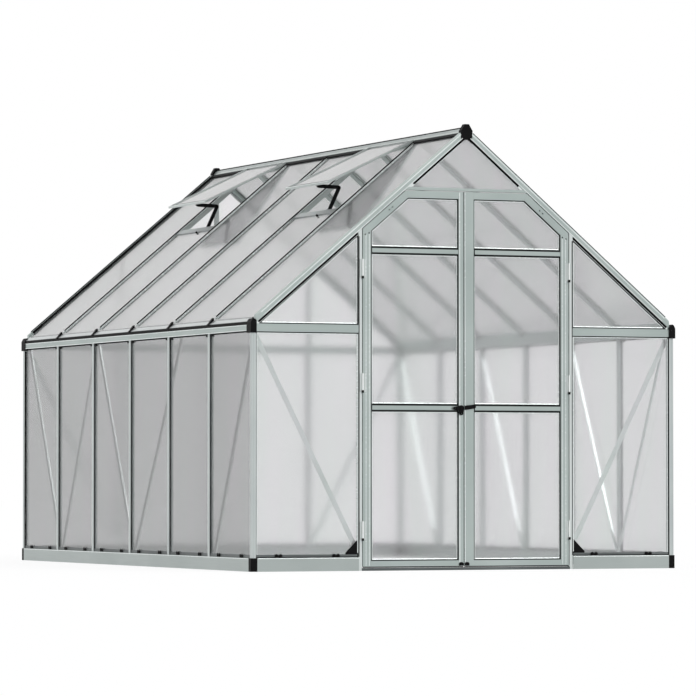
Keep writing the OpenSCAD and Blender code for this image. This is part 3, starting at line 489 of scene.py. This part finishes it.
front_sheet = polycarbonate("gable_polycarbonate", 0.87, 0)
dress(["front_panels", "back_panels", "left_door_panels", "right_door_panels"], front_sheet)
dress(["side_panels_left"], polycarbonate("left_wall_polycarbonate", 0.50, 1))
dress(["side_panels_right"], polycarbonate("right_wall_polycarbonate", 0.87, 1))
dress(["roof_panels_left"], polycarbonate("left_roof_polycarbonate", 0.65, 1))
dress(["roof_panels_right"], polycarbonate("right_roof_polycarbonate", 0.58, 1))
dress(["vent_panels"], polycarbonate("vent_polycarbonate", 0.44, 1))


def inset(outline, depth):
    """The outline's corners moved inward by depth: each goes by depth * (m + n) / (1 + m . n),
    where m and n are the inward unit normals of its two edges. The outline runs anticlockwise."""
    corners = np.asarray(outline, float)
    edge = np.roll(corners, -1, 0) - corners
    edge /= np.linalg.norm(edge, axis=1)[:, None]
    n = np.stack([-edge[:, 1], edge[:, 0]], 1)
    m = np.roll(n, 1, 0)
    return corners + depth * (m + n) / (1 + (m * n).sum(1))[:, None]


def border(name, outlines, place, out, depth, section, made, body="frame"):
    """A strip round each outline, inset by depth. place turns the outlines' two coordinates
    into points, and the strips run from corner to corner."""
    rings = [inset(outline, depth) for outline in outlines]
    starts = np.concatenate([place(*ring.T) for ring in rings])
    ends = np.concatenate([place(*np.roll(ring, -1, 0).T) for ring in rings])
    return bars(name, starts, ends, out, section, made, body)


# Black gasket and a strip of painted highlight round the panels above and beside the doors.
tan_pitch, cos_pitch = math.tan(pitch), math.cos(pitch)
beam_low, beam_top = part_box("gable_beams")[0][2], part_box("gable_beams")[1][2]
glass_y = -half_l + glass_in


def on_front(x, z):
    """Points on the front panels' outer face."""
    return column(x, glass_y, z)


def rafter_line(x, depth):
    """Height of the line that lies depth below the roof's outer plane, at distance x."""
    return apex - abs(x) * tan_pitch - depth / cos_pitch


low_panel = np.array([(-half_w + corner_w, rail_top + 0.001), (-door_out, rail_top + 0.001),
                      (-door_out, beam_low), (-half_w + corner_w, beam_low)])
rafter_depth = 0.046
far_x = -(apex - rafter_depth / cos_pitch - beam_top) / tan_pitch
high_panel = np.array([(far_x, beam_top), (-door_out, beam_top),
                       (-door_out, rafter_line(door_out, rafter_depth))])
flip = np.array([-1, 1])
front_outlines = [low_panel, high_panel, (low_panel * flip)[::-1], (high_panel * flip)[::-1]]
border("front_panel_gaskets", front_outlines, on_front, -Y, 0.0022, ribbon(0.0044, 0.0062), rubber_and_painted_shade)
border("front_panel_highlights", front_outlines, on_front, -Y, 0.0070, ribbon(0.0050, 0.0028), painted_highlight)

# ---- Braces, channels and clips ----
# Thin pressed strips of aluminium brace the bays from the inside. A dark channel with black
# two-toothed clips holds the wall panels' lower edges, and black gussets stiffen the door posts.
dress(["side_braces_left", "side_braces_right", "gable_braces"],
      aluminium("brace_aluminium", (0.64, 0.69, 0.68), (0.72, 0.77, 0.76), (60, 60, 60)))
dress(["sill_channels"], aluminium("channel_aluminium", (0.09, 0.10, 0.10), (0.15, 0.165, 0.165),
                                   (60, 60, 60), 0.42))
dress(["glazing_clips", "gusset_plates"], plastic)


def buttons(name, places, out, radius, height, made, body="frame"):
    """Low domed heads of bolts and rivets. Ring j of n has radius * cos(a) and stands
    height * sin(a) proud, where a goes from 0 to a right angle."""
    place = np.asarray(places, float).reshape(-1, 3)
    out = np.asarray(out, float)
    across = np.cross(out, (0.31, 0.47, 0.83))
    across /= np.linalg.norm(across)
    over = np.cross(out, across)
    sides, rings = 12, 4
    turn = np.linspace(0, 2 * math.pi, sides, endpoint=False)
    rise = np.radians([0, 25, 50, 72])
    spoke = np.cos(turn)[:, None] * across + np.sin(turn)[:, None] * over
    dome = (radius * np.cos(rise)[:, None, None] * spoke
            + (height * np.sin(rise))[:, None, None] * out).reshape(-1, 3)
    here = np.arange(sides)
    after = (here + 1) % sides
    level = sides * np.arange(rings - 1)[:, None, None]
    walls = (level + np.stack([here, after, after + sides, here + sides], 1)).reshape(-1, 4)
    points = (place[:, None] + dome).reshape(-1, 3)
    first = sides * rings * np.arange(len(place))[:, None, None]
    faces = (first + walls).reshape(-1, 4).tolist()
    crown = first[:, 0] + sides * (rings - 1) + here
    faces += crown.tolist() + (first[:, 0] + here[::-1]).tolist()
    mesh = bpy.data.meshes.new(name)
    mesh.from_pydata(points.tolist(), [], faces)
    mesh.materials.append(made)
    heads = bpy.data.objects.new(name, mesh)
    bpy.context.scene.collection.objects.link(heads)
    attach(heads, body)
    return heads


# The two round teeth of each clip: along the side walls, beside the doors and on the back.
tooth_r, tooth_gap, clip_in, clip_z = 0.0110, 0.0115, 0.0070, rail_top + 0.0105
post_clear = 0.0123
span_from = np.concatenate([[-half_l + corner_w], side_y + post_clear])
span_to = np.concatenate([side_y - post_clear, [half_l - corner_w]])
shares = np.array([0.22, 0.78])[:, None]
clips_y = (span_from + shares * (span_to - span_from)).ravel()
teeth_y = np.concatenate([clips_y - tooth_gap, clips_y + tooth_gap])
for sign, label in ((-1, "left"), (1, "right")):
    buttons(f"clip_teeth_{label}", column(sign * (half_w - clip_in), teeth_y, clip_z), sign * X,
            tooth_r, 0.0035, plastic)
front_from, front_to = np.array([-corner_in, door_out]), np.array([-door_out, corner_in])
back_from = np.array([-corner_in, -bay + post_clear, post_clear, bay + post_clear])
back_to = np.array([-bay - post_clear, -post_clear, bay - post_clear, corner_in])
for end, label, low, high in ((-1, "front", front_from, front_to), (1, "back", back_from, back_to)):
    clips_x = (low + shares * (high - low)).ravel()
    teeth_x = np.concatenate([clips_x - tooth_gap, clips_x + tooth_gap])
    buttons(f"clip_teeth_{label}", column(teeth_x, end * (half_l - clip_in), clip_z), end * Y,
            tooth_r, 0.0035, plastic)

# ---- Roof vents ----
# Two flaps of panel in a light aluminium frame, hinged at the ridge and held open by a folding
# stay of black plastic on the crossbar under the opening.
dress(["vent_frames"],
      aluminium("vent_aluminium", (0.46, 0.50, 0.49), (0.54, 0.58, 0.57), (60, 60, 60)))
dress(["vent_crossbars"],
      aluminium("crossbar_aluminium", (0.30, 0.33, 0.33), (0.38, 0.41, 0.41), (60, 420, 60)))
dress(["vent_stays"], plastic)
lift = math.radians(14.5)
flap_hinge, flap_l, flap_bar = 0.0420, 0.570, 0.020


def flap_point(t, y):
    """Points on the flap's upper face, t down the flap from its hinge, at y: the flap is turned
    up from the slope by lift about the hinge."""
    up = 0.007
    return roof_point(flap_hinge + t * math.cos(lift) - up * math.sin(lift), y,
                      -0.001 + t * math.sin(lift) + up * math.cos(lift), -1)


flap_out = np.array([-math.sin(pitch - lift), 0, math.cos(pitch - lift)])
flap_starts = side_y[[0, 3]] + 0.004
flap_w = bay - 0.008
outer = [[(0, y), (flap_l, y), (flap_l, y + flap_w), (0, y + flap_w)] for y in flap_starts]
# Painted highlight: a light strip round the edge of each flap.
border("vent_edge_highlights", outer, flap_point, flap_out, 0.0028, ribbon(0.0044, 0.0010), painted_highlight)
# Moulded sleeves on the two links of each stay, in the plane square to the ridge.
foot, elbow = np.array([0.618, -0.014]), np.array([0.494, 0.044])
tip_t, tip_up = flap_l - 0.014, -0.014
tip = np.array([flap_hinge + tip_t * math.cos(lift) - tip_up * math.sin(lift),
                -0.001 + tip_t * math.sin(lift) + tip_up * math.cos(lift)])
stay_y = side_y[[1, 4]] - bay / 2 - 0.135
for name, (u0, w0), (u1, w1), y in (("lower", foot, elbow, stay_y - 0.001),
                                    ("upper", tip, elbow, stay_y + 0.003)):
    bars(f"stay_{name}_sleeves", roof_point(u0, y, w0, -1), roof_point(u1, y, w1, -1), Y,
         ribbon(0.021, 0.006), plastic)
border("vent_gaskets", outer, flap_point, flap_out, flap_bar - 0.0018, ribbon(0.0036, 0.0008),
       rubber_and_painted_shade)

# ---- Door leaves ----
# Each leaf is a frame of flat aluminium bars round three panels. A black gasket and a strip of
# painted highlight run round every panel, and two crossrails carry short black end caps. Dark lines
# of painted shade run along the crossrails' edges and fill the gap under each leaf, and light lines
# of painted highlight run up the stiles.
dress(["left_door_stiles", "right_door_stiles"],
      aluminium("stile_aluminium", silver_dark, silver_light, along_z))
dress(["left_door_rails", "right_door_rails"],
      aluminium("door_rail_aluminium", silver_dark, silver_light, along_x))
leaf_glass_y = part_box("left_door_panels")[0][1]
door_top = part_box("left_door_stiles")[1][2]
cross_h, cross_low = 0.032, 0.866
cross_high = door_top - 0.322
leaf_edge, panel_depth, top_rail = 0.606, 0.075, 0.038


def on_leaf(x, z):
    """Points on the outer face of the leaves' panels."""
    return column(x, leaf_glass_y, z)


leaf_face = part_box("left_door_stiles")[0][1]
for label, body, sign in (("left", "left_leaf", -1), ("right", "right_leaf", 1)):
    low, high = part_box(f"{label}_door_panels")
    outer, inner = (low[0], high[0]) if sign < 0 else (high[0], low[0])
    bends = rafter_line(outer, panel_depth), door_top - top_rail
    bend_x = sign * (apex - panel_depth / cos_pitch - bends[1]) / tan_pitch
    outlines = [[(outer, z0), (inner, z0), (inner, z1), (outer, z1)] for z0, z1 in
                ((low[2], cross_low - cross_h / 2),
                 (cross_low + cross_h / 2, cross_high - cross_h / 2))]
    outlines.append([(outer, cross_high + cross_h / 2), (inner, cross_high + cross_h / 2),
                     (inner, bends[1]), (bend_x, bends[1]), (outer, bends[0])])
    if sign > 0:
        outlines = [outline[::-1] for outline in outlines]
    border(f"{label}_leaf_gaskets", outlines, on_leaf, -Y, 0.0023, ribbon(0.0046, 0.0087), rubber_and_painted_shade,
           body)
    # Painted highlight: a light strip round every panel, inside the gasket.
    border(f"{label}_leaf_highlights", outlines, on_leaf, -Y, 0.0072, ribbon(0.0052, 0.0030), painted_highlight,
           body)
    rails_z = np.array([cross_low, cross_high])
    # Painted shade: dark lines along the upper and lower edges of each crossrail's face.
    for name, offset in (("upper", 0.0136), ("lower", -0.0136)):
        bars(f"{label}_crossrail_{name}_shade_lines",
             column(low[0], leaf_face + 0.003, rails_z + offset),
             column(high[0], leaf_face + 0.003, rails_z + offset), -Y, ribbon(0.0042, 0.0010),
             rubber_and_painted_shade, body)
    # Painted shade: a black strip across the foot of each leaf fills the shadowed gap above the
    # threshold.
    gap_shade = column([leaf_edge * sign, -0.0195 if sign < 0 else -0.0135], leaf_face + 0.006, 0.0195)
    gap_shade = gap_shade if sign < 0 else gap_shade[::-1]
    bars(f"{label}_leaf_gap_shade", gap_shade[:1], gap_shade[1:], -Y, ribbon(0.0062, 0.0040), rubber_and_painted_shade,
         body)
    end_x = low[0] + 0.0035
    bars(f"{label}_crossrail_end_caps", column(end_x, leaf_face + 0.003, rails_z - 0.014),
         column(end_x, leaf_face + 0.003, rails_z + 0.014), -Y, ribbon(0.006, 0.004), plastic,
         body)
    edge = sign * leaf_edge
    corner_z = rafter_line(edge, 0.037)
    rivets = column([edge - sign * 0.014, edge - sign * 0.036, sign * 0.452, sign * 0.434],
                    leaf_face, [corner_z - 0.030, corner_z - 0.022, rafter_line(0.452, 0.056),
                                rafter_line(0.434, 0.056)])
    buttons(f"{label}_leaf_rivets", rivets, -Y, 0.0042, 0.002, plastic, body)
# Painted highlight: light lines up the meeting stiles and up both outer stiles.
highlight_foot = 0.026
meeting = column([-0.0415, -0.0105], leaf_face, highlight_foot)
bars("left_meeting_edge", meeting[:1], meeting[:1] + (door_top - 0.030) * Z, -Y,
     ribbon(0.0058, 0.0008), painted_highlight, "left_leaf")
bars("right_meeting_edge", meeting[1:], meeting[1:] + (door_top - 0.030) * Z, -Y,
     ribbon(0.0048, 0.0008), painted_highlight, "right_leaf")
for name, x in (("inner", 0.5690), ("outer", 0.5885)):
    for label, body, sign in (("left", "left_leaf", -1), ("right", "right_leaf", 1)):
        start = column(sign * x, leaf_face, highlight_foot)
        bars(f"{label}_stile_{name}_highlight", start, start + 1.76 * Z, -Y, ribbon(0.0040, 0.0008),
             painted_highlight, body)

# ---- Hinges, latch and bolts ----
# Slim extruded hinges with a steel pin stand on the door posts, their proud barrels turned near
# white as painted highlight. The turning latch, its keeper and the foot bolts are moulded in black
# plastic.
hinge_metal = aluminium("hinge_aluminium", (0.46, 0.50, 0.49), (0.52, 0.56, 0.55), along_z)
tree = hinge_metal.node_tree
principled = tree.nodes["Principled BSDF"]
# Painted highlight: the part of each hinge in front of barrel_y, its barrel, turns near white.
place = tree.nodes.new("ShaderNodeTexCoord")
parts = tree.nodes.new("ShaderNodeSeparateXYZ")
proud = tree.nodes.new("ShaderNodeMath")
proud.operation = "LESS_THAN"
barrel_y = leaf_face - 0.0024
proud.inputs[1].default_value = barrel_y
barrel_highlight = tree.nodes.new("ShaderNodeMixRGB")
barrel_highlight.inputs["Color2"].default_value = (0.86, 0.88, 0.87, 1)
tree.links.new(place.outputs["Object"], parts.inputs[0])
tree.links.new(parts.outputs["Y"], proud.inputs[0])
tree.links.new(proud.outputs[0], barrel_highlight.inputs["Fac"])
tree.links.new(principled.inputs["Base Color"].links[0].from_socket, barrel_highlight.inputs["Color1"])
tree.links.new(barrel_highlight.outputs["Color"], principled.inputs["Base Color"])
dress(["hinge_posts", "left_door_hinges", "right_door_hinges"], hinge_metal)
hinge_x = 0.6085
hinge_feet = np.array([0.213, 0.998, 1.605]) - 0.0485
feet = np.concatenate([column(sign * hinge_x, leaf_face - 0.0045, hinge_feet - 0.002)
                       for sign in (-1, 1)])
bars("hinge_foot_caps", feet - 0.004 * Z, feet + 0.010 * Z, -Y, ribbon(0.0105, 0.0055), plastic)
dress(["left_door_bolt", "right_door_bolt", "latch_plate", "latch_lever", "latch_keeper"],
      plastic)
